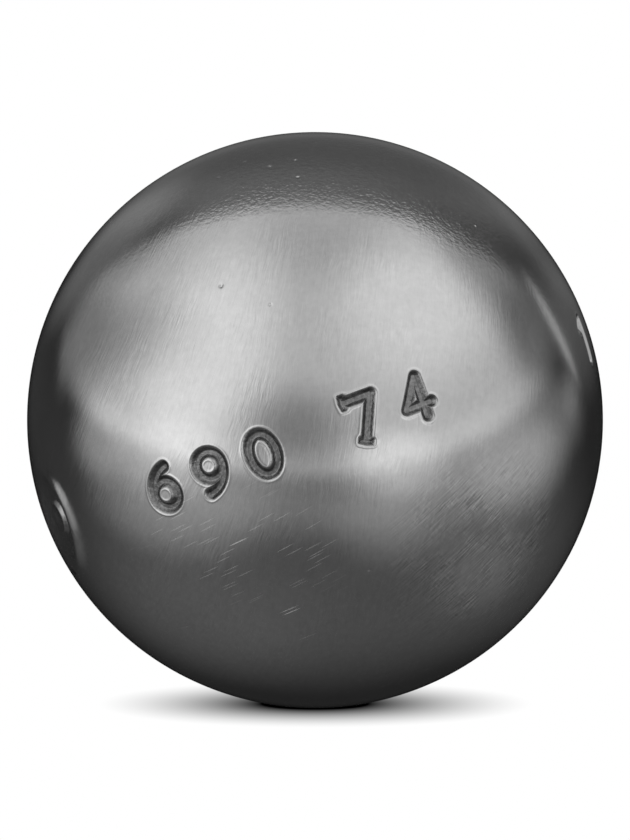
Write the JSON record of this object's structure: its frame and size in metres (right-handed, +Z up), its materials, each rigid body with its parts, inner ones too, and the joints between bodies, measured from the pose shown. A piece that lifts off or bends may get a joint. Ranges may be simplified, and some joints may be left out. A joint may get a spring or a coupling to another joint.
{
  "type": "petanque boule",
  "caption": "Hollow steel petanque boule: half shells joined by a flush weld, with a satin brushed finish and plain struck figures, thrown and rolled in play.",
  "frame": {"origin": "centre of the ball", "axes": "+Z up as the ball lies in the picture, +Y from the half shell with the struck figures through the seam to the plain half shell"},
  "size_m": [0.074, 0.074, 0.074],
  "materials": {
    "shell_steel": "satin, finely brushed, with light scratches",
    "weld_steel": "satin, ground flush and brushed with the shells"
  },
  "bodies": {
    "root": {"front_half_shell": "shell_steel", "rear_half_shell": "shell_steel", "seam_weld": "weld_steel"}
  },
  "joints": []
}
